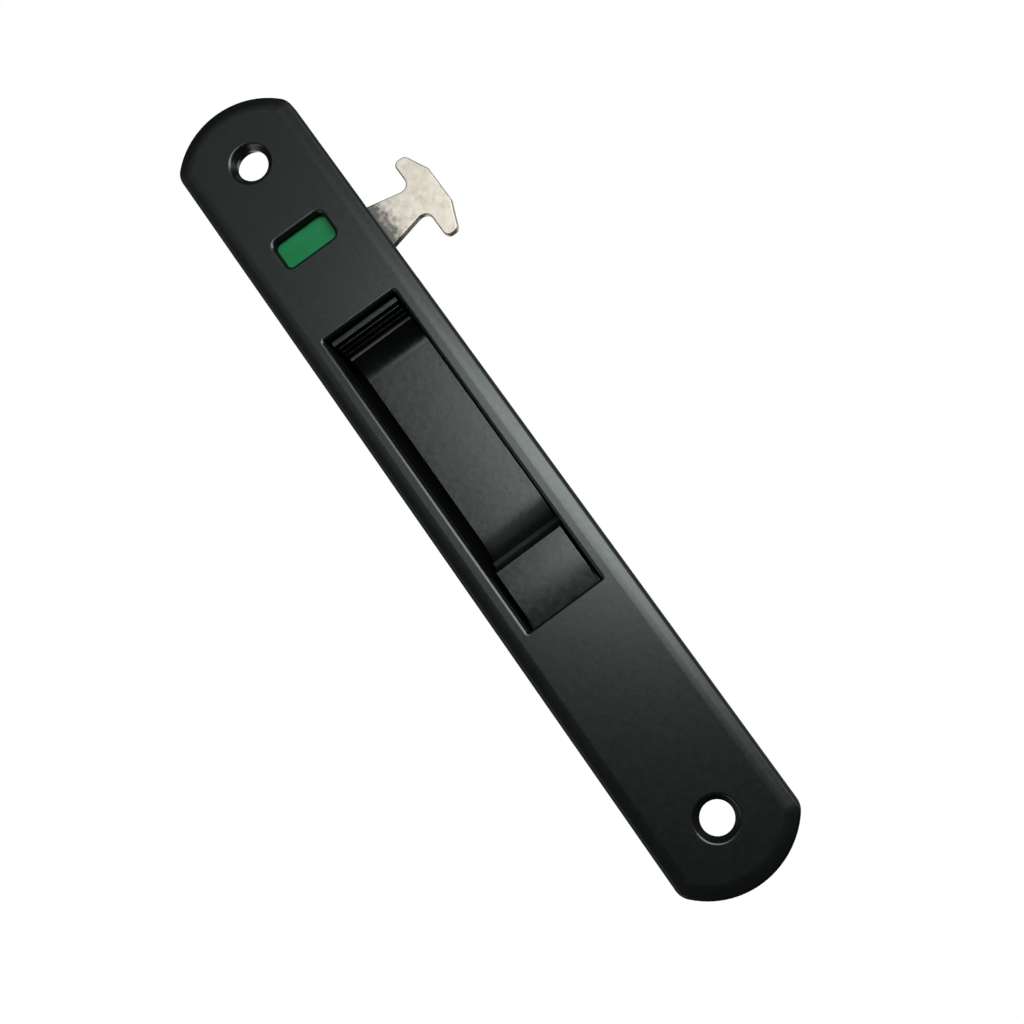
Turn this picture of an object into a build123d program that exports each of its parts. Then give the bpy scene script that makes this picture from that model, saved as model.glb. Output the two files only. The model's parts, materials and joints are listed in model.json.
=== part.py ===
"""Flush sliding door lock: a long faceplate with a thumb slide, a T shaped hook and a two colour indicator.

Frame: +X is the side where the hook leaves the door, +Y goes into the door and +Z is up.
Origin: where the two mounting screw holes open on the back of the faceplate's wall, midway between them.
The lock stands unlocked: the slide is at the top of its slot and the window shows green.
Sizes named depth count from the front face of the plate, and are turned into places along Y below.
"""

import os
from math import sqrt

from build123d import *

os.makedirs("parts", exist_ok=True)

# Faceplate
plate_width = 27.4
plate_height = 3.0
end_radius = 17.2
end_corner_radius = 3.8
bevel_width = 2.45
bevel_drop = 0.44
face_wall = 1.6
skirt_width = 1.9
crease_radius = 7.0
edge_radius = 0.7
rim_radius = 0.75
screw_pitch = 160.0
screw_end_distance = 14.0
screw_hole_radius = 3.3
countersink_radius = 4.4
countersink_angle = 90
screw_boss_bore = 3.9
screw_boss_wall = 0.8
relief_depth = 0.4

# Travel of the slide, the hook and the indicator
travel = 9.0

# Rear case, inside the faceplate's skirt and between its two screw bosses
case_side_gap = 0.2
case_boss_gap = 0.2
case_wall = 1.1
case_floor = 1.2
case_corner = 3.0
case_edge = 0.8
post_radius = 1.6
post_side_gap = 0.1
post_end_gap = 0.7
post_rib_gap = 1.15
case_screw_radius = 0.9
case_screw_length = 7.0
case_head_radius = 2.0
case_head_height = 1.2

# Hook, cut from strip
hook_thickness = 1.2
hook_drop = 20.6
hook_root_height = 10.5
hook_taper_inset = 0.4
hook_throat_length = 9.4
hook_neck_length = 2.1
hook_neck_height = 6.9
hook_head_length = 5.4
hook_upper_reach = 9.55
hook_lower_reach = 10.5
hook_flat_height = 8.4
hook_tip_width = 2.9
hook_tip_radius = 1.3
hook_fillet = 1.7
hook_edge_break = 0.35
hook_slot_length = 5.0

# Slot for the slide, and the guide rails cast along it
slot_length = 71.2
slot_hook_gap = 1.0
slot_corner = 0.3
rail_thickness = 1.2
rail_depth = 6.0
rail_case_gap = 0.8

# Thumb slide, a moulded trough with a ribbed wall at its top and a slightly domed pad at its bottom
slide_side_gap = 0.7
land_depth = 1.8
land_height = 1.05
land_gap = 0.25
ribbed_wall_lean = 1.55
ribbed_wall_depth = 7.0
scoop_inset = 0.4
scoop_depth = 10.0
scoop_wall = 1.4
lip_height = 0.55
cove_length = 2.5
cove_radius = 5.0
ramp_length = 7.0
ramp_rise = 1.8
ridge_height = 0.7
pad_depth = 3.3
pad_length = 13.5
pad_crown = 0.35
pad_lean = 3.1
pad_edge_radius = 0.3
pad_thickness = 2.3
pad_overlap = 3.5
rib_count = 3
rib_radius = 0.25
tail_gap = 0.25
arm_width = 12.0
arm_thickness = 3.0
arm_rise = 11.5

# Indicator window in the faceplate
window_width = 11.8
window_height = 6.5
window_rise = 4.95
window_corner = 1.3

# Indicator flag with its labels, and the drive plate behind it
label_back_gap = 0.2
label_thickness = 0.1
label_side_margin = 0.25
label_top_margin = 0.2
green_bottom_margin = 0.6
green_top_margin = 1.7
flag_thickness = 1.0
flag_top_gap = 0.7
flag_hook_drop = 4.5
drive_thickness = 1.2
drive_side_gap = 0.25
drive_top_inset = 1.4
drive_bottom_extra = 0.7
plate_corner = 1.0
flag_rivet_spacing = 9.0
flag_rivet_rise = 1.4
rivet_radius = 0.8
rivet_head_radius = 1.3
rivet_head_height = 0.4

# Screws that clamp the slide's arm, the hook and the drive plate together
clamp_spacing = 6.0
clamp_radius = 1.5
clamp_head_radius = 2.6
clamp_head_height = 1.8
clamp_end_gap = 0.1
washer_radius = 2.85
washer_thickness = 0.5
bush_wall = 0.6

# Cross recess in a screw head, in shares of the head's radius and height
recess_length_share = 1.2
recess_width_share = 0.3
recess_depth_share = 0.6

# Guide bushes in the two side slots of the case, where the hook passes
guide_wall = 0.6
guide_flange = 0.5
guide_gap = 0.3

# Glide strips behind the slide
glide_thickness = 1.3
glide_width = 2.6
glide_x = 5.3
glide_drop = 3.25
glide_length = 61.0

# Detent leaf on the case floor, and the two notches for it in the back of the slide
leaf_width = 5.0
leaf_thickness = 0.3
leaf_drop = 19.25
leaf_fixed_length = 8.0
leaf_free_length = 3.0
leaf_ramp = 3.0
leaf_crest = 2.0
leaf_rivet_spacing = 2.6
leaf_rivet_head_radius = 1.2
notch_depth = 0.6
notch_mouth = 4.4
notch_bottom = 2.6
notch_side_gap = 0.7

# Rubber stops at both ends of the travel, each against a rib of the case
stop_thickness = 2.5
stop_width = 8.0
stop_height = 3.0
stop_rib = 1.2
stop_rib_width = 10.0

# Fits
running_gap = 0.1
shank_fit = 0.02
shank_clearance = 0.2

# Places along Y
front_y = -face_wall
bevel_y = front_y + bevel_drop
flange_y = front_y + plate_height
rail_y = front_y + rail_depth
land_y = front_y + land_depth
pad_y = front_y + pad_depth
pad_back_y = pad_y + pad_thickness
ribbed_end_y = front_y + ribbed_wall_depth
scoop_y = front_y + scoop_depth
ridge_y = scoop_y - ramp_rise
slide_back_y = scoop_y + scoop_wall
label_y = label_back_gap
flag_y = label_y + label_thickness
rivet_seat_y = flag_y + rivet_head_height
drive_y = flag_y + flag_thickness
hook_y = drive_y + drive_thickness
arm_y = hook_y + hook_thickness
arm_back_y = arm_y + arm_thickness
washer_y = arm_back_y + washer_thickness
glide_y = slide_back_y + running_gap
case_floor_y = glide_y + glide_thickness
case_back_y = case_floor_y + case_floor
leaf_y = case_floor_y - leaf_thickness

# Widths and places along X, from the plate's edge inwards and then out to the hook
plate_edge_x = plate_width / 2
case_x = plate_edge_x - skirt_width - case_side_gap
case_inner_x = case_x - case_wall
post_x = case_inner_x - post_side_gap - post_radius
flag_width = 2 * (post_x - post_radius - drive_side_gap)
label_width = flag_width - 2 * label_side_margin
slot_width = 2 * (case_inner_x - rail_case_gap - rail_thickness)
slide_width = slot_width - 2 * slide_side_gap
scoop_width = slide_width - 2 * scoop_inset
bush_radius = clamp_radius + shank_clearance + bush_wall
hook_head_x = plate_edge_x + hook_throat_length

# Heights, from the upper screw hole downwards
plate_length = screw_pitch + 2 * screw_end_distance
boss_radius = screw_boss_bore + screw_boss_wall
case_top = screw_pitch / 2 - boss_radius - case_boss_gap
post_top_z = case_top - case_wall - post_end_gap - post_radius
hook_z = case_top - hook_drop
hook_top = hook_z + hook_root_height / 2
hook_bottom = hook_z - hook_root_height / 2
flag_top = case_top - case_wall - flag_top_gap
flag_bottom = hook_z - flag_hook_drop
flag_rivet_z = flag_bottom + flag_rivet_rise
drive_top = flag_top - drive_top_inset
drive_bottom = flag_bottom - drive_bottom_extra
window_z = hook_z + window_rise
green_bottom = window_z - window_height / 2 - green_bottom_margin
green_top = window_z + window_height / 2 + green_top_margin
arm_top = hook_z + arm_rise
tail_top = hook_bottom - tail_gap
slot_top = hook_bottom - travel - slot_hook_gap
slot_bottom = slot_top - slot_length
land_top = slot_top - land_gap
land_bottom = land_top - land_height
wall_bottom = land_bottom - ribbed_wall_lean
lip_bottom = wall_bottom - lip_height
cove_bottom = lip_bottom - cove_length
pad_top = slot_bottom + pad_length
pad_bottom = slot_bottom - pad_overlap
ramp_end = pad_top + pad_lean
ramp_start = ramp_end + ramp_length
ridge_bottom = ramp_end - ridge_height
glide_top = slot_top - glide_drop
leaf_z = slot_top - leaf_drop
leaf_start = leaf_z - leaf_crest / 2 - leaf_ramp - leaf_fixed_length
leaf_rivet_z = leaf_start + leaf_fixed_length / 2
upper_stop_bottom = arm_top + running_gap
upper_rib_bottom = upper_stop_bottom + stop_thickness
lower_stop_top = pad_bottom - travel - running_gap
lower_rib_top = lower_stop_top - stop_thickness
lower_rib_bottom = lower_rib_top - stop_rib
post_bottom_z = lower_rib_bottom - post_rib_gap - post_radius
case_bottom = post_bottom_z - post_radius - post_end_gap - case_wall

# Places of the holes, screws, rivets and posts
screw_points = [(0, z) for z in (-screw_pitch / 2, screw_pitch / 2)]
clamp_points = [(x, hook_z) for x in (-clamp_spacing / 2, clamp_spacing / 2)]
post_points = [(x, z) for x in (-post_x, post_x) for z in (post_bottom_z, post_top_z)]
flag_rivet_points = [(x, flag_rivet_z) for x in (-flag_rivet_spacing / 2, flag_rivet_spacing / 2)]
leaf_rivet_points = [(x, leaf_rivet_z) for x in (-leaf_rivet_spacing / 2, leaf_rivet_spacing / 2)]


def facing(y):
    """The plane at depth y whose sketch is seen from the front, X right and Z up; it extrudes forwards."""
    return Plane.XZ.offset(-y)


def slab(bottom, top, width, corner=0.0, mode=Mode.ADD):
    """In a sketch seen from the front, a centred rectangle from one height to another."""
    with Locations((0, (bottom + top) / 2)):
        if corner:
            RectangleRounded(width, top - bottom, corner, mode=mode)
        else:
            Rectangle(width, top - bottom, mode=mode)


def discs(points, radius, mode=Mode.ADD):
    """In a sketch, one disc at each point."""
    with Locations(*points):
        Circle(radius, mode=mode)


def rods(points, radius, back_y, front_y):
    """In a part, a round rod at each point, from one depth forwards to another."""
    with BuildSketch(facing(back_y)) as ends:
        discs(points, radius)
    extrude(ends.sketch, amount=back_y - front_y)


def drill(points, radius, back_y, length):
    """In a part, a round hole at each point, from one depth forwards by a length."""
    with BuildSketch(facing(back_y)) as ends:
        discs(points, radius)
    extrude(ends.sketch, amount=length, mode=Mode.SUBTRACT)


def finish(piece, name):
    """Labels the piece and writes its STEP file."""
    piece.part.label = name
    export_step(piece.part, f"parts/{name}.step")


# Faceplate, a hollow casting with a bevelled rim
def plate_outline(inset):
    """The faceplate's outline drawn in by an inset: two straight sides and two arcs, with soft corners."""
    half = plate_width / 2 - inset
    radius = end_radius - inset
    centre = plate_length / 2 - end_radius
    corner = centre + sqrt(radius**2 - half**2)
    tip = centre + radius
    with BuildLine() as outline:
        Line((-half, -corner), (-half, corner))
        ThreePointArc((-half, corner), (0, tip), (half, corner))
        Line((half, corner), (half, -corner))
        ThreePointArc((half, -corner), (0, -tip), (-half, -corner))
        fillet(outline.vertices(), radius=end_corner_radius - inset)
    make_face(outline.edges())


with BuildPart() as faceplate:
    with BuildSketch(facing(flange_y)):
        plate_outline(0)
    extrude(amount=flange_y - bevel_y)
    with BuildSketch(facing(bevel_y)):
        plate_outline(0)
    with BuildSketch(facing(front_y)):
        plate_outline(bevel_width)
    loft(ruled=True)
    fillet(faceplate.faces().sort_by(Axis.Y)[0].edges(), radius=crease_radius)
    rim = faceplate.edges().filter_by_position(Axis.Y, bevel_y, bevel_y)
    fillet(rim, radius=edge_radius)
    # The hollow back, with a ring left standing around each screw hole
    with BuildSketch(facing(flange_y)):
        plate_outline(skirt_width)
        discs(screw_points, boss_radius, mode=Mode.SUBTRACT)
        discs(screw_points, screw_boss_bore)
    extrude(amount=flange_y, mode=Mode.SUBTRACT)
    # A shallow relief in the skirt, so that the hook slides past it freely
    with BuildSketch(facing(flange_y)):
        slab(hook_bottom - travel - guide_gap, hook_top + guide_gap, plate_width)
    extrude(amount=relief_depth, mode=Mode.SUBTRACT)
    # The rails, the slot between them and the window
    with BuildSketch(facing(rail_y)):
        slab(slot_bottom, slot_top, slot_width + 2 * rail_thickness)
    extrude(amount=rail_y)
    with BuildSketch(facing(rail_y)):
        slab(slot_bottom, slot_top, slot_width, corner=slot_corner)
    extrude(amount=rail_depth, mode=Mode.SUBTRACT)
    with BuildSketch(facing(0)):
        with Locations((0, window_z)):
            RectangleRounded(window_width, window_height, window_corner)
    extrude(amount=face_wall, mode=Mode.SUBTRACT)
    with Locations(facing(front_y)):
        with Locations(*screw_points):
            CounterSinkHole(screw_hole_radius, countersink_radius, face_wall, countersink_angle)
    fillet(faceplate.faces().sort_by(Axis.Y)[0].inner_wires().edges(), radius=rim_radius)
    # Posts that take the case screws
    rods(post_points, post_radius, case_floor_y, 0)
    drill(post_points, case_screw_radius + shank_fit, case_floor_y, case_screw_length)
finish(faceplate, "faceplate")


# Thumb slide
def slide_section():
    """The slide's long section in Y and Z: pad, back, arm, land, ribbed wall, lip, cove, scoop and ridge."""
    with BuildLine() as section:
        Polyline(
            (pad_y, slot_bottom),
            (pad_y, pad_bottom),
            (pad_back_y, pad_bottom),
            (pad_back_y, pad_top - scoop_wall),
            (slide_back_y, ramp_end - scoop_wall),
            (slide_back_y, land_top),
            (arm_back_y, land_top + scoop_wall),
            (arm_back_y, arm_top),
            (arm_y, arm_top),
            (arm_y, tail_top),
            (pad_y, tail_top),
            (pad_y, land_top),
            (land_y, land_top),
            (land_y, land_bottom),
            (ribbed_end_y, wall_bottom),
            (ribbed_end_y, lip_bottom),
            (scoop_y, cove_bottom),
            (scoop_y, ramp_start),
        )
        TangentArc((scoop_y, ramp_start), (ridge_y, ramp_end), tangent=(0, -1))
        Polyline((ridge_y, ramp_end), (ridge_y, ridge_bottom), (pad_y, pad_top))
        pad_middle = (pad_y - pad_crown, (pad_top + slot_bottom) / 2)
        ThreePointArc((pad_y, pad_top), pad_middle, (pad_y, slot_bottom))
    make_face(section.edges())


def ribs():
    """In the long section, evenly spaced round ribs down the leaning wall."""
    depth = ribbed_end_y - land_y
    shares = [rib / (rib_count + 1) for rib in range(1, rib_count + 1)]
    discs([(land_y + share * depth, land_bottom - share * ribbed_wall_lean) for share in shares], rib_radius)


def notch():
    """In the long section, a notch with leaning sides that opens backwards."""
    mouth = notch_mouth / 2
    bottom = notch_bottom / 2
    Polygon((0, -mouth), (0, mouth), (-notch_depth, bottom), (-notch_depth, -bottom), align=None)


with BuildPart() as thumb_slide:
    with BuildSketch(Plane.YZ):
        slide_section()
    extrude(amount=slide_width / 2, both=True)
    pad_sides = thumb_slide.edges().filter_by(GeomType.CIRCLE).group_by(Axis.Z)[0]
    fillet(pad_sides, radius=pad_edge_radius)
    cove = thumb_slide.edges().filter_by_position(Axis.Z, cove_bottom, cove_bottom)
    fillet(cove, radius=cove_radius)
    # The scoop is a little narrower than the wall above it and the pad below it
    with BuildSketch(facing(slide_back_y)):
        slab(ramp_end, wall_bottom, slide_width)
        slab(ramp_end, wall_bottom, scoop_width, mode=Mode.SUBTRACT)
    extrude(amount=scoop_depth, mode=Mode.SUBTRACT)
    # The arm behind the hook is narrower than the tail below it
    with BuildSketch(facing(arm_back_y)):
        slab(tail_top, arm_top, slide_width)
        slab(tail_top, arm_top, arm_width, mode=Mode.SUBTRACT)
    extrude(amount=arm_thickness, mode=Mode.SUBTRACT)
    with BuildSketch(Plane.YZ):
        ribs()
    extrude(amount=scoop_width / 2, both=True)
    with BuildSketch(Plane.YZ):
        with Locations((slide_back_y, leaf_z), (slide_back_y, leaf_z + travel)):
            notch()
    extrude(amount=leaf_width / 2 + notch_side_gap, both=True, mode=Mode.SUBTRACT)
    drill(clamp_points, bush_radius + shank_fit, arm_back_y, arm_thickness)
finish(thumb_slide, "thumb_slide")


# Hook plate: a slotted root behind the drive plate, a tapered shank and a T shaped head
def hook_outline():
    """The hook's outline, the same above and below its centre line but for the reach of the head."""
    root = hook_root_height / 2
    neck = hook_neck_height / 2
    taper = [(plate_edge_x - hook_taper_inset, root), (hook_head_x - hook_neck_length, neck)]
    shank = [(-arm_width / 2, root), *taper]
    sides = []
    for side, reach in ((1, hook_upper_reach), (-1, hook_lower_reach)):
        head = [
            (hook_head_x, neck),
            (hook_head_x, reach),
            (hook_head_x + hook_tip_width, reach),
            (hook_head_x + hook_head_length, hook_flat_height / 2),
        ]
        sides.append([(x, side * z) for x, z in shank + head])
    with Locations((0, hook_z)):
        Polygon(*sides[0], *reversed(sides[1]), align=None)


with BuildPart() as hook_plate:
    with BuildSketch(facing(arm_y)) as hook_face:
        hook_outline()
        throats = hook_face.vertices().filter_by_position(Axis.X, hook_head_x, hook_head_x)
        fillet(throats.sort_by(Axis.Y)[1:-1], radius=hook_fillet)
        tips = hook_face.vertices().group_by(Axis.Y)
        fillet(tips[0] + tips[-1], radius=hook_tip_radius)
        with Locations(*clamp_points):
            SlotOverall(hook_slot_length, 2 * (clamp_radius + shank_clearance), mode=Mode.SUBTRACT)
    extrude(amount=hook_thickness)
    front_outline = hook_plate.faces().sort_by(Axis.Y)[0].outer_wire().edges()
    fillet(front_outline, radius=hook_edge_break)
finish(hook_plate, "hook_plate")


# Drive plate, which the clamp screws thread into
with BuildPart() as drive_plate:
    with BuildSketch(facing(hook_y)):
        slab(drive_bottom, drive_top, flag_width, corner=plate_corner)
        discs(clamp_points, clamp_radius + shank_fit, mode=Mode.SUBTRACT)
        discs(flag_rivet_points, rivet_radius + shank_fit, mode=Mode.SUBTRACT)
    extrude(amount=drive_thickness)
finish(drive_plate, "drive_plate")


# Indicator flag with its two labels and its rivets
with BuildPart() as indicator_flag:
    with BuildSketch(facing(drive_y)):
        slab(flag_bottom, flag_top, flag_width, corner=plate_corner)
        discs(flag_rivet_points, rivet_radius + shank_fit, mode=Mode.SUBTRACT)
    extrude(amount=flag_thickness)
    # The rivet heads lie flush, as the flag slides close behind the faceplate's wall
    drill(flag_rivet_points, rivet_head_radius + shank_fit, rivet_seat_y, rivet_head_height)
finish(indicator_flag, "indicator_flag")

with BuildPart() as green_label:
    with BuildSketch(facing(flag_y)):
        slab(green_bottom, green_top, label_width)
    extrude(amount=label_thickness)
finish(green_label, "green_label")

with BuildPart() as red_label:
    with BuildSketch(facing(flag_y)):
        slab(green_top, flag_top - label_top_margin, label_width)
    extrude(amount=label_thickness)
finish(red_label, "red_label")

with BuildPart() as flag_rivets:
    rods(flag_rivet_points, rivet_radius, hook_y, flag_y)
    rods(flag_rivet_points, rivet_head_radius, rivet_seat_y, flag_y)
finish(flag_rivets, "flag_rivets")


# Screws with their washers and bushes
def screw_heads(piece, points, radius, seat_y, height):
    """On the piece, round heads behind the seat, each with a rounded rim and a cross recess."""
    back_y = seat_y + height
    rods(points, radius, back_y, seat_y)
    fillet(piece.faces().group_by(Axis.Y)[-1].edges(), radius=height / 3)
    with BuildSketch(facing(back_y)) as recess:
        with Locations(*points):
            Rectangle(recess_length_share * radius, recess_width_share * radius)
            Rectangle(recess_width_share * radius, recess_length_share * radius)
    extrude(recess.sketch, amount=recess_depth_share * height, mode=Mode.SUBTRACT)


with BuildPart() as clamp_screws:
    rods(clamp_points, clamp_radius, washer_y, drive_y + clamp_end_gap)
    screw_heads(clamp_screws, clamp_points, clamp_head_radius, washer_y, clamp_head_height)
finish(clamp_screws, "clamp_screws")

with BuildPart() as clamp_washers:
    rods(clamp_points, washer_radius, washer_y, arm_back_y)
    drill(clamp_points, clamp_radius + shank_clearance, washer_y, washer_thickness)
finish(clamp_washers, "clamp_washers")

with BuildPart() as arm_bushes:
    rods(clamp_points, bush_radius, arm_back_y, arm_y)
    drill(clamp_points, clamp_radius + shank_clearance, arm_back_y, arm_thickness)
finish(arm_bushes, "arm_bushes")

with BuildPart() as case_screws:
    rods(post_points, case_screw_radius, case_back_y, case_floor_y - case_screw_length + shank_clearance)
    screw_heads(case_screws, post_points, case_head_radius, case_back_y, case_head_height)
finish(case_screws, "case_screws")


# Rear case, a moulded tray whose rim meets the back of the faceplate's wall
def side_slot(margin):
    """In a sketch in Y and Z, the room that the hook needs in the side of the case, wider by a margin."""
    bottom = hook_bottom - travel - guide_gap - margin
    top = hook_top + guide_gap + margin
    front = hook_y - guide_gap - margin
    back = arm_y + guide_gap + margin
    with Locations(((front + back) / 2, (bottom + top) / 2)):
        Rectangle(back - front, top - bottom)


with BuildPart() as rear_case:
    with BuildSketch(facing(case_back_y)):
        slab(case_bottom, case_top, 2 * case_x, corner=case_corner)
    extrude(amount=case_back_y)
    fillet(rear_case.faces().sort_by(Axis.Y)[-1].edges(), radius=case_edge)
    with BuildSketch(facing(case_floor_y)):
        slab(case_bottom + case_wall, case_top - case_wall, 2 * case_inner_x, corner=case_corner - case_wall)
    extrude(amount=case_floor_y, mode=Mode.SUBTRACT)
    # A rib behind each stop
    with BuildSketch(facing(case_floor_y)):
        slab(upper_rib_bottom, upper_rib_bottom + stop_rib, stop_rib_width)
    extrude(amount=case_floor_y - arm_y)
    with BuildSketch(facing(case_floor_y)):
        slab(lower_rib_bottom, lower_rib_top, stop_rib_width)
    extrude(amount=case_floor_y - pad_y)
    with BuildSketch(Plane.YZ):
        side_slot(guide_wall)
    extrude(amount=case_x, both=True, mode=Mode.SUBTRACT)
    drill(post_points, case_screw_radius + shank_clearance, case_back_y, case_floor)
    drill(leaf_rivet_points, rivet_radius + shank_fit, case_back_y, case_floor)
finish(rear_case, "rear_case")


# Guide bushes, pressed into the side slots from inside
def hook_guide(side):
    """In a part, a sleeve through the case wall with a flange on its inner face, on side +1 or -1."""
    inner_face = Plane.YZ.offset(side * case_inner_x)
    with BuildSketch(inner_face) as sleeve:
        side_slot(guide_wall)
    extrude(sleeve.sketch, amount=side * case_wall)
    with BuildSketch(inner_face) as flange:
        side_slot(guide_wall + guide_flange)
    extrude(flange.sketch, amount=-side * guide_flange)
    with BuildSketch(Plane.YZ) as opening:
        side_slot(0)
    extrude(opening.sketch, amount=side * case_x, mode=Mode.SUBTRACT)


with BuildPart() as right_hook_guide:
    hook_guide(1)
finish(right_hook_guide, "right_hook_guide")

with BuildPart() as left_hook_guide:
    hook_guide(-1)
finish(left_hook_guide, "left_hook_guide")


# Glide strips on the case floor, which the slide's back runs along
def glide(x):
    """In a part, one strip with round ends."""
    with BuildSketch(facing(case_floor_y)) as outline:
        with Locations((x, glide_top - glide_length / 2)):
            SlotOverall(glide_length, glide_width, rotation=90)
    extrude(outline.sketch, amount=glide_thickness)


with BuildPart() as right_glide:
    glide(glide_x)
finish(right_glide, "right_glide")

with BuildPart() as left_glide:
    glide(-glide_x)
finish(left_glide, "left_glide")


# Detent leaf: flat at both ends, with a crest that drops into a notch of the slide
def leaf_section():
    """The leaf's section in Y and Z, a bent strip of even thickness along Y."""
    crest_y = slide_back_y - notch_depth + running_gap
    crest_bottom = leaf_z - leaf_crest / 2
    crest_top = leaf_z + leaf_crest / 2
    front = [
        (leaf_y, leaf_start),
        (leaf_y, leaf_start + leaf_fixed_length),
        (crest_y, crest_bottom),
        (crest_y, crest_top),
        (leaf_y, crest_top + leaf_ramp),
        (leaf_y, crest_top + leaf_ramp + leaf_free_length),
    ]
    back = [(y + leaf_thickness, z) for y, z in reversed(front)]
    Polygon(*front, *back, align=None)


with BuildPart() as detent_leaf:
    with BuildSketch(Plane.YZ):
        leaf_section()
    extrude(amount=leaf_width / 2, both=True)
    drill(leaf_rivet_points, rivet_radius + shank_fit, case_floor_y, leaf_thickness)
finish(detent_leaf, "detent_leaf")

with BuildPart() as leaf_rivets:
    rods(leaf_rivet_points, rivet_radius, case_back_y, leaf_y)
    rods(leaf_rivet_points, leaf_rivet_head_radius, leaf_y, leaf_y - rivet_head_height)
    rods(leaf_rivet_points, leaf_rivet_head_radius, case_back_y + rivet_head_height, case_back_y)
finish(leaf_rivets, "leaf_rivets")


# Rubber stops
def stop(front_y, bottom):
    """In a part, one block between a rib of the case and the end of the slide's travel."""
    with BuildSketch(facing(front_y + stop_height)) as outline:
        slab(bottom, bottom + stop_thickness, stop_width)
    extrude(outline.sketch, amount=stop_height)


with BuildPart() as upper_stop:
    stop(arm_y, upper_stop_bottom)
finish(upper_stop, "upper_stop")

with BuildPart() as lower_stop:
    stop(pad_y, lower_rib_top)
finish(lower_stop, "lower_stop")
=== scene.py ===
"""Looks for the sliding door lock: materials for its CAD pieces, a floor, lights and the camera.

Lengths and places are in millimetres in the materials, and in metres on the stage.
"""

import json
import math

import bpy
from mathutils import Matrix, Quaternion, Vector


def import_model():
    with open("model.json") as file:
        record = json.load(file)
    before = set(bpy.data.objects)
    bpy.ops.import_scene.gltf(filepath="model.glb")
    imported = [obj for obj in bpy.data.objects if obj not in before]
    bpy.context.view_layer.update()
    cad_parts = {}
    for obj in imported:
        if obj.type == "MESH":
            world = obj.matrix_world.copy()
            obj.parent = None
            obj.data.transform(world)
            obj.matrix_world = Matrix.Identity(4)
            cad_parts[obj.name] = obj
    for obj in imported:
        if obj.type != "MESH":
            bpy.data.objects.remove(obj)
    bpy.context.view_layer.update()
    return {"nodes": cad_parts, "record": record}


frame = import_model()
nodes = frame["nodes"]

MM = 0.001

# The tint of black paint's reflections, its painted highlight and painted shade, and its roughness
# where dull
COOL = (0.9, 1.0, 0.97)
PAINTED_HIGHLIGHT_GREY = (0.055, 0.057, 0.055)
PAINTED_SHADE_BLACK = (0.0008, 0.0009, 0.0009)
PAINTED_SHADE_GLOSS = 0.08
DULL_ROUGHNESS = 0.85

# Places of the masks as (axis, low, high), and how far each mask fades out beyond them
SLOT_AND_WINDOW = [("X", -9.0, 9.0), ("Y", -0.2, 6.0), ("Z", -33.0, 64.0)]
SLOT_FADE = 1.0
CASE_INSIDE = [("X", -10.8, 10.8), ("Y", 0.0, 11.4), ("Z", -53.8, 74.5)]
CASE_FADE = 0.4
RIDGE = [("Z", -16.0, -15.4)]
RIDGE_FADE = 0.15
COVE_END = [("Z", 31.2, 31.8)]
COVE_FADE = 0.7
COVE_STRENGTH = 0.4
LIP = [("Z", 35.9, 36.4)]
LIP_FADE = 0.1

# Places along X where the faceplate's rim starts to turn dull and where it is fully dull
LEFT_RIM = (-12.9, -13.25)
RIGHT_RIM = (13.0, 13.35)

# Painted shade at the hook's root: its grey, and the places along X where it starts to fade and
# ends
ROOT_SHADE_GREY = (0.125, 0.125, 0.115)
ROOT_SHADE_FADE = (13.9, 19.6)

# Grains in each millimetre of the slow changes of tone, of patches of wear and of painted root
# shade
TONE_GRAINS = 0.12
PATCH_GRAINS = 0.8

# How far wear reaches from an edge, and the cosines between the true and the rounded normal
# where it is full and where it ends
PAINT_WEAR = 0.25
METAL_WEAR = 0.2
FILM_WEAR = 0.15
WORN_COSINE = 0.82
UNWORN_COSINE = 0.98

# What polished edges multiply a metal's light tone and its least roughness by
POLISHED_TONE = 1.15
POLISHED_ROUGHNESS = 0.8

# Printed film: its gloss, the depth of its relief and how much paler it is where it is scuffed
FILM_GLOSS = 0.15
FILM_RELIEF = 0.004
SCUFF = 0.04


# Nodes
def new_material(name):
    """A node material with its tree emptied down to a shader and an output."""
    material = bpy.data.materials.new(name)
    material.use_nodes = True
    tree = material.node_tree
    tree.nodes.clear()
    output = tree.nodes.new("ShaderNodeOutputMaterial")
    shader = tree.nodes.new("ShaderNodeBsdfPrincipled")
    tree.links.new(shader.outputs["BSDF"], output.inputs["Surface"])
    return material, tree, shader


def rgba(tone):
    """An opaque colour from a colour or a grey."""
    colour = (tone,) * 3 if isinstance(tone, float) else tone
    return (*colour, 1.0)


def noise(tree, grains, detail=3.0, roughness=0.55, stretch=(1, 1, 1)):
    """A noise with so many grains in each millimetre of the object."""
    place = tree.nodes.new("ShaderNodeTexCoord")
    mapping = tree.nodes.new("ShaderNodeMapping")
    mapping.inputs["Scale"].default_value = [grains / MM * share for share in stretch]
    texture = tree.nodes.new("ShaderNodeTexNoise")
    texture.inputs["Scale"].default_value = 1.0
    texture.inputs["Detail"].default_value = detail
    texture.inputs["Roughness"].default_value = roughness
    tree.links.new(place.outputs["Object"], mapping.inputs["Vector"])
    tree.links.new(mapping.outputs["Vector"], texture.inputs["Vector"])
    return texture.outputs["Fac"]


def ramp(tree, factor, low, high, start=0.3, end=0.7):
    """Goes from low to high, each a colour or a grey, as the factor goes from start to end."""
    node = tree.nodes.new("ShaderNodeValToRGB")
    first, last = node.color_ramp.elements
    first.position = start
    first.color = rgba(low)
    last.position = end
    last.color = rgba(high)
    tree.links.new(factor, node.inputs["Fac"])
    return node.outputs["Color"]


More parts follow.
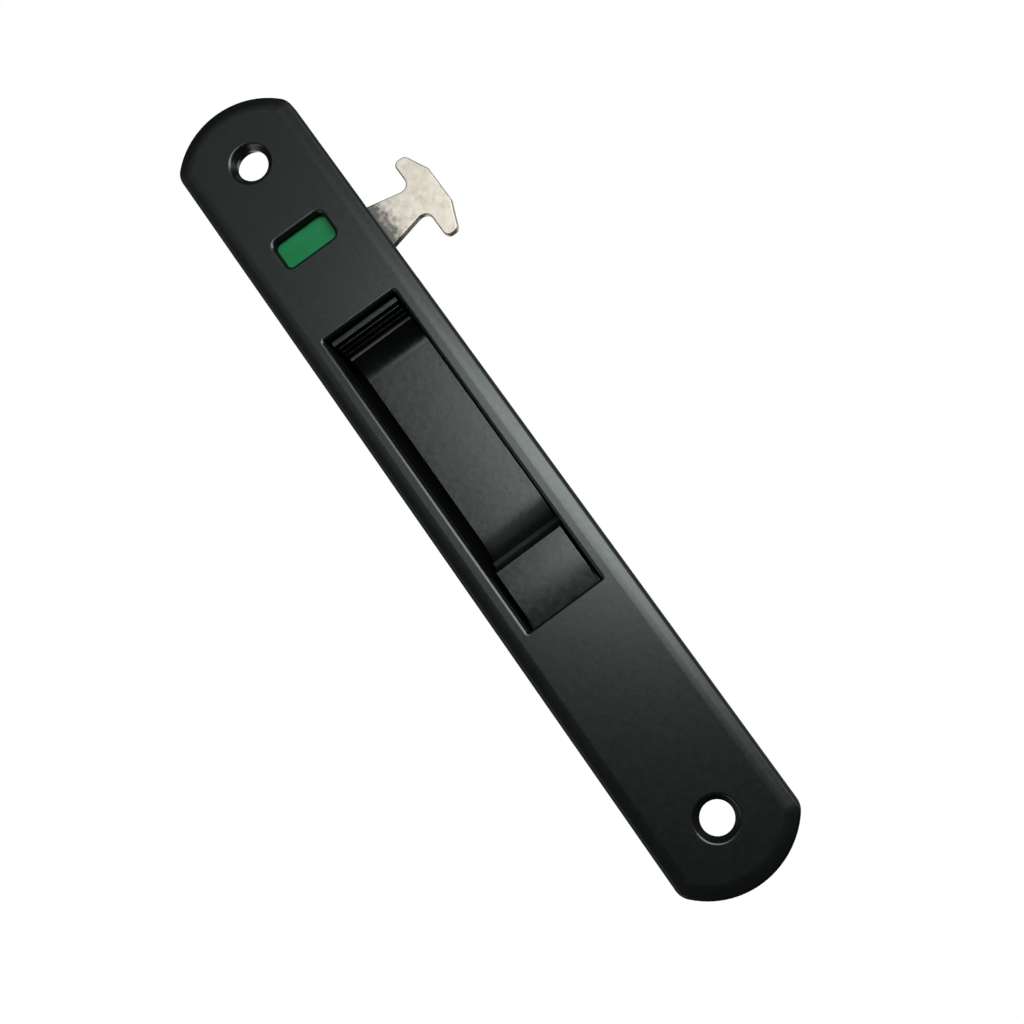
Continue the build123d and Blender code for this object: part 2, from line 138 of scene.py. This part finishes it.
def blend(tree, factor, low, high):
    """Goes from low to high, each a socket, a colour or a grey, as the factor goes from 0 to 1."""
    node = tree.nodes.new("ShaderNodeMix")
    node.data_type = "RGBA"
    sockets = {socket.identifier: socket for socket in [*node.inputs, *node.outputs]}
    tree.links.new(factor, sockets["Factor_Float"])
    for socket, value in ((sockets["A_Color"], low), (sockets["B_Color"], high)):
        if isinstance(value, bpy.types.NodeSocket):
            tree.links.new(value, socket)
        else:
            socket.default_value = rgba(value)
    return sockets["Result_Color"]


def combine(tree, operation, first, second):
    """Adds, multiplies or takes the maximum of a factor and a second factor or number."""
    node = tree.nodes.new("ShaderNodeMath")
    node.operation = operation
    tree.links.new(first, node.inputs[0])
    if isinstance(second, float):
        node.inputs[1].default_value = second
    else:
        tree.links.new(second, node.inputs[1])
    return node.outputs["Value"]


def bump(tree, shader, height, depth):
    """Bumps the shader by a height of so many millimetres."""
    node = tree.nodes.new("ShaderNodeBump")
    node.inputs["Distance"].default_value = depth * MM
    tree.links.new(height, node.inputs["Height"])
    tree.links.new(node.outputs["Normal"], shader.inputs["Normal"])


# Masks
def wear(tree, radius):
    """A mask of patchy wear, which reaches from the edges as far as the radius."""
    bevel = tree.nodes.new("ShaderNodeBevel")
    bevel.samples = 6
    bevel.inputs["Radius"].default_value = radius * MM
    geometry = tree.nodes.new("ShaderNodeNewGeometry")
    cosine = tree.nodes.new("ShaderNodeVectorMath")
    cosine.operation = "DOT_PRODUCT"
    tree.links.new(bevel.outputs["Normal"], cosine.inputs[0])
    tree.links.new(geometry.outputs["Normal"], cosine.inputs[1])
    edge = ramp(tree, cosine.outputs["Value"], 1.0, 0.0, WORN_COSINE, UNWORN_COSINE)
    patchy = noise(tree, PATCH_GRAINS, detail=4.0)
    patches = ramp(tree, patchy, low=0.1, high=1.0, start=0.42, end=0.6)
    return combine(tree, "MULTIPLY", edge, patches)


def along(tree, axis, start, end):
    """A factor that goes from 0 to 1 between two places along an axis."""
    place = tree.nodes.new("ShaderNodeTexCoord")
    split = tree.nodes.new("ShaderNodeSeparateXYZ")
    share = tree.nodes.new("ShaderNodeMapRange")
    share.inputs["From Min"].default_value = start * MM
    share.inputs["From Max"].default_value = end * MM
    tree.links.new(place.outputs["Object"], split.inputs["Vector"])
    tree.links.new(split.outputs[axis], share.inputs["Value"])
    return share.outputs["Result"]


def within(tree, bounds, fade):
    """A mask of 1 within bounds, each (axis, low, high), which fades out beyond them."""
    factors = []
    for axis, low, high in bounds:
        factors.append(along(tree, axis, low - fade, low))
        factors.append(along(tree, axis, high + fade, high))
    product = factors[0]
    for factor in factors[1:]:
        product = combine(tree, "MULTIPLY", product, factor)
    return product


def inside_slot(tree):
    """The walls of the faceplate's slot and window: rougher paint there, and painted shade."""
    return within(tree, SLOT_AND_WINDOW, SLOT_FADE)


def walls_and_rim(tree):
    """The walls of the faceplate's slot and window, and its rim."""
    rim = combine(tree, "ADD", along(tree, "X", *LEFT_RIM), along(tree, "X", *RIGHT_RIM))
    return combine(tree, "MAXIMUM", inside_slot(tree), rim)


def inside_case(tree):
    """The inner faces of the rear case: dull plastic there, and painted shade."""
    return within(tree, CASE_INSIDE, CASE_FADE)


def ridge(tree):
    """The ridge between the slide's scoop and its pad."""
    return within(tree, RIDGE, RIDGE_FADE)


def cove_end(tree):
    """The end of the slide's cove, where painted shade takes some of the shine."""
    return combine(tree, "MULTIPLY", within(tree, COVE_END, COVE_FADE), COVE_STRENGTH)


def lip(tree):
    """The lip below the slide's ribs, lightened by a painted highlight."""
    return within(tree, LIP, LIP_FADE)


# Materials
def painted(
    name, dark, light, rough, grains, depth, worn, worn_rough,
    tint=(1, 1, 1), gloss=0.5, dull=None, painted_shade=None, pale=None,
):
    """Sprayed or moulded black with a mottled surface, slow changes of tone and rubbed edges.

    The last three each make a mask: of dull paint, of painted shade and of a painted highlight.
    """
    material, tree, shader = new_material(name)
    slow = noise(tree, TONE_GRAINS, detail=4.0)
    mottled = noise(tree, grains, roughness=0.45)
    rubbed = wear(tree, PAINT_WEAR)
    colour = ramp(tree, slow, dark, light, start=0.35, end=0.65)
    roughness = ramp(tree, mottled, *rough)
    shader.inputs["Specular Tint"].default_value = rgba(tint)
    shader.inputs["Specular IOR Level"].default_value = gloss
    if dull is not None:
        roughness = blend(tree, dull(tree), roughness, DULL_ROUGHNESS)
    # Painted shade: within its mask the colour turns black and the shine falls
    if painted_shade is not None:
        in_shade = painted_shade(tree)
        colour = blend(tree, in_shade, colour, PAINTED_SHADE_BLACK)
        shine = blend(tree, in_shade, gloss, PAINTED_SHADE_GLOSS)
        tree.links.new(shine, shader.inputs["Specular IOR Level"])
    # Painted highlight: within its mask the colour turns pale grey
    if pale is not None:
        colour = blend(tree, pale(tree), colour, PAINTED_HIGHLIGHT_GREY)
    tree.links.new(blend(tree, rubbed, colour, worn), shader.inputs["Base Color"])
    tree.links.new(blend(tree, rubbed, roughness, worn_rough), shader.inputs["Roughness"])
    bump(tree, shader, mottled, depth)
    return material


def metal(
    name, dark, light, rough, grains, depth,
    stretch=(1, 1, 1), edge=METAL_WEAR, painted_root_shade=False,
):
    """Bare or plated metal: drawn or mottled grain, polished edges, perhaps painted root shade."""
    material, tree, shader = new_material(name)
    shader.inputs["Metallic"].default_value = 1.0
    mottled = noise(tree, grains, detail=5.0, roughness=0.65, stretch=stretch)
    polished = wear(tree, edge)
    bright = tuple(min(1.0, POLISHED_TONE * value) for value in light)
    colour = blend(tree, polished, ramp(tree, mottled, dark, light), bright)
    # Painted shade where the hook meets the faceplate, in patches that fade out along X
    if painted_root_shade:
        patches = ramp(tree, noise(tree, PATCH_GRAINS, detail=4.0), low=0.0, high=0.6)
        unshaded = combine(tree, "ADD", along(tree, "X", *ROOT_SHADE_FADE), patches)
        unshaded = ramp(tree, unshaded, low=0.0, high=1.0, start=0.4, end=0.95)
        colour = blend(tree, unshaded, ROOT_SHADE_GREY, colour)
    least, most = rough
    roughness = ramp(tree, mottled, least, most)
    roughness = blend(tree, polished, roughness, POLISHED_ROUGHNESS * least)
    tree.links.new(colour, shader.inputs["Base Color"])
    tree.links.new(roughness, shader.inputs["Roughness"])
    bump(tree, shader, mottled, depth)
    return material


def film(name, dark, light):
    """Printed film: slightly uneven colour, half gloss, paler where its edges are scuffed."""
    material, tree, shader = new_material(name)
    slow = noise(tree, grains=0.35, detail=2.0)
    fine = noise(tree, grains=2.5)
    scuffed = wear(tree, FILM_WEAR)
    darker = ramp(tree, fine, low=0.0, high=0.35)
    mottled = blend(tree, darker, ramp(tree, slow, dark, light), dark)
    pale = tuple(value + SCUFF for value in light)
    tree.links.new(blend(tree, scuffed, mottled, pale), shader.inputs["Base Color"])
    tree.links.new(ramp(tree, slow, low=0.42, high=0.5), shader.inputs["Roughness"])
    shader.inputs["Specular IOR Level"].default_value = FILM_GLOSS
    bump(tree, shader, fine, FILM_RELIEF)
    return material


finishes = {
    "plate_paint": painted(
        "plate_paint", dark=(0.0012, 0.003, 0.0028), light=(0.003, 0.0034, 0.003),
        rough=(0.266, 0.294), grains=0.8, depth=0.007, worn=(0.006, 0.007, 0.007), worn_rough=0.26,
        # painted shade blackens the walls of the slot and window and takes their shine
        tint=COOL, dull=walls_and_rim, painted_shade=inside_slot,
    ),
    "slide_plastic": painted(
        "slide_plastic", dark=(0.0012, 0.0024, 0.0024), light=(0.003, 0.0034, 0.0032),
        rough=(0.22, 0.29), grains=0.9, depth=0.011, worn=(0.006, 0.007, 0.007), worn_rough=0.27,
        # painted shade at the end of the cove, and a painted highlight on the lip
        tint=COOL, dull=ridge, painted_shade=cove_end, pale=lip,
    ),
    "case_plastic": painted(
        "case_plastic", dark=(0.011, 0.012, 0.0125), light=(0.017, 0.018, 0.0185),
        rough=(0.42, 0.56), grains=1.5, depth=0.02, worn=(0.03, 0.031, 0.031), worn_rough=0.36,
        # painted shade blackens the inner faces of the case and takes their shine
        gloss=0.25, dull=inside_case, painted_shade=inside_case,
    ),
    "guide_plastic": painted(
        "guide_plastic", dark=(0.004, 0.004, 0.0042), light=(0.006, 0.006, 0.0062),
        rough=(0.4, 0.5), grains=2.0, depth=0.005, worn=0.01, worn_rough=0.35,
    ),
    "flag_plastic": painted(
        "flag_plastic", dark=0.02, light=0.028,
        rough=(0.45, 0.55), grains=2.0, depth=0.005, worn=0.04, worn_rough=0.4,
    ),
    "stop_rubber": painted(
        "rubber", dark=0.012, light=0.02,
        rough=(0.75, 0.9), grains=2.0, depth=0.02, worn=0.03, worn_rough=0.7,
    ),
    "hook_steel": metal(
        "hook_steel", dark=(0.42, 0.39, 0.335), light=(0.7, 0.665, 0.59),
        # painted shade at the hook's root, where it meets the faceplate
        rough=(0.48, 0.6), grains=0.6, depth=0.02, edge=0.5, painted_root_shade=True,
    ),
    "zinc_steel": metal(
        "zinc_steel", dark=(0.5, 0.51, 0.53), light=(0.68, 0.69, 0.7),
        rough=(0.28, 0.42), grains=1.5, depth=0.006,
    ),
    "spring_steel": metal(
        "spring_steel", dark=(0.32, 0.33, 0.36), light=(0.45, 0.46, 0.49),
        rough=(0.25, 0.38), grains=1.0, depth=0.005, stretch=(3, 1, 0.3),
    ),
    "rivet_aluminium": metal(
        "aluminium", dark=(0.68, 0.69, 0.7), light=(0.8, 0.81, 0.82),
        rough=(0.3, 0.42), grains=1.5, depth=0.006,
    ),
    "bush_brass": metal(
        "brass", dark=(0.62, 0.44, 0.17), light=(0.76, 0.58, 0.28),
        rough=(0.25, 0.4), grains=1.5, depth=0.006, stretch=(1, 4, 1),
    ),
    "green_film": film("green_film", dark=(0.0045, 0.14, 0.045), light=(0.0065, 0.18, 0.06)),
    "red_film": film("red_film", dark=(0.4, 0.012, 0.012), light=(0.5, 0.02, 0.018)),
}
for subpart in frame["record"]["subparts"]:
    piece = nodes[subpart["node"]]
    piece.data.materials.clear()
    piece.data.materials.append(finishes[subpart["material_slot"]])


# Stage
def floor(half_width, height):
    """A pale floor, which lights nothing else and shows in no reflection."""
    mesh = bpy.data.meshes.new("floor")
    signs = ((-1, -1), (1, -1), (1, 1), (-1, 1))
    corners = [(half_width * x, half_width * y, height) for x, y in signs]
    mesh.from_pydata(corners, [], [(0, 1, 2, 3)])
    piece = bpy.data.objects.new("floor", mesh)
    bpy.context.scene.collection.objects.link(piece)
    material, tree, shader = new_material("floor_paint")
    tone = ramp(tree, noise(tree, grains=0.02), low=0.86, high=0.9)
    tree.links.new(tone, shader.inputs["Base Color"])
    shader.inputs["Roughness"].default_value = 0.9
    mesh.materials.append(material)
    piece.visible_diffuse = False
    piece.visible_glossy = False
    return piece


def floor_light(piece, power, spread):
    """A light that falls on the floor alone, with a spread in degrees."""
    light = bpy.data.lights.new("floor_light", "SUN")
    light.energy = power
    light.angle = math.radians(spread)
    lamp = bpy.data.objects.new("floor_light", light)
    lit = bpy.data.collections.new("lit_floor")
    lit.objects.link(piece)
    lamp.light_linking.receiver_collection = lit
    bpy.context.scene.collection.objects.link(lamp)


def softbox(name, place, width, height, power, roll=0.0):
    """A rectangular soft light at a place, turned towards the lock and rolled by some degrees."""
    place = Vector(place)
    light = bpy.data.lights.new(name, "AREA")
    light.shape = "RECTANGLE"
    light.size = width
    light.size_y = height
    light.energy = power
    lamp = bpy.data.objects.new(name, light)
    lamp.location = place
    lamp.rotation_mode = "QUATERNION"
    turn = Quaternion((0.0, 0.0, 1.0), math.radians(roll))
    lamp.rotation_quaternion = place.to_track_quat("Z", "Y") @ turn
    lamp.visible_camera = False
    bpy.context.scene.collection.objects.link(lamp)


def world(seen, cast):
    """A white world, with one strength for the camera and another for the light that it casts."""
    scene_world = bpy.data.worlds.new("studio")
    bpy.context.scene.world = scene_world
    scene_world.use_nodes = True
    tree = scene_world.node_tree
    tree.nodes.clear()
    output = tree.nodes.new("ShaderNodeOutputWorld")
    background = tree.nodes.new("ShaderNodeBackground")
    strength = tree.nodes.new("ShaderNodeMix")
    path = tree.nodes.new("ShaderNodeLightPath")
    strength.inputs["A"].default_value = cast
    strength.inputs["B"].default_value = seen
    background.inputs["Color"].default_value = rgba(1.0)
    tree.links.new(path.outputs["Is Camera Ray"], strength.inputs["Factor"])
    tree.links.new(strength.outputs["Result"], background.inputs["Strength"])
    tree.links.new(background.outputs["Background"], output.inputs["Surface"])


def photo_camera(place, forward, up, lens, shift_x):
    """The photo's camera at a place, with its sideways shift as a share of the picture's width."""
    camera_data = bpy.data.cameras.new("camera")
    camera_data.sensor_width = 36.0
    camera_data.lens = lens
    camera_data.shift_x = shift_x
    camera_data.clip_start = 0.01
    camera = bpy.data.objects.new("camera", camera_data)
    forward = Vector(forward).normalized()
    up = Vector(up).normalized()
    right = forward.cross(up)
    axes = Matrix((right, up, -forward)).transposed().to_4x4()
    camera.matrix_world = Matrix.Translation(place) @ axes
    bpy.context.scene.collection.objects.link(camera)
    bpy.context.scene.camera = camera


floor_light(floor(half_width=2.5, height=-1.5), power=2.9, spread=40)
world(seen=1.0, cast=0.03)
softbox("window", (0.385, -0.77, 0.155), width=1.05, height=0.328, power=9.2, roll=-17)
softbox("fill", (-0.07, -0.77, 0.545), width=0.73, height=0.5, power=0.4)
softbox("left", (-0.88, -0.47, -0.1), width=0.35, height=0.9, power=1.8)
softbox("back_right", (0.85, 0.75, -0.25), width=0.8, height=1.2, power=5.0)
softbox("back_left", (-0.8, 0.8, 0.2), width=1.0, height=1.2, power=7.0)
photo_camera(
    place=(0.02813, -0.20555, -0.06770),
    forward=(0.02726, 0.98730, 0.15649),
    up=(0.59731, -0.14161, 0.78941),
    lens=38.67,
    shift_x=-0.203,
)
bpy.context.scene.view_settings.view_transform = "Standard"
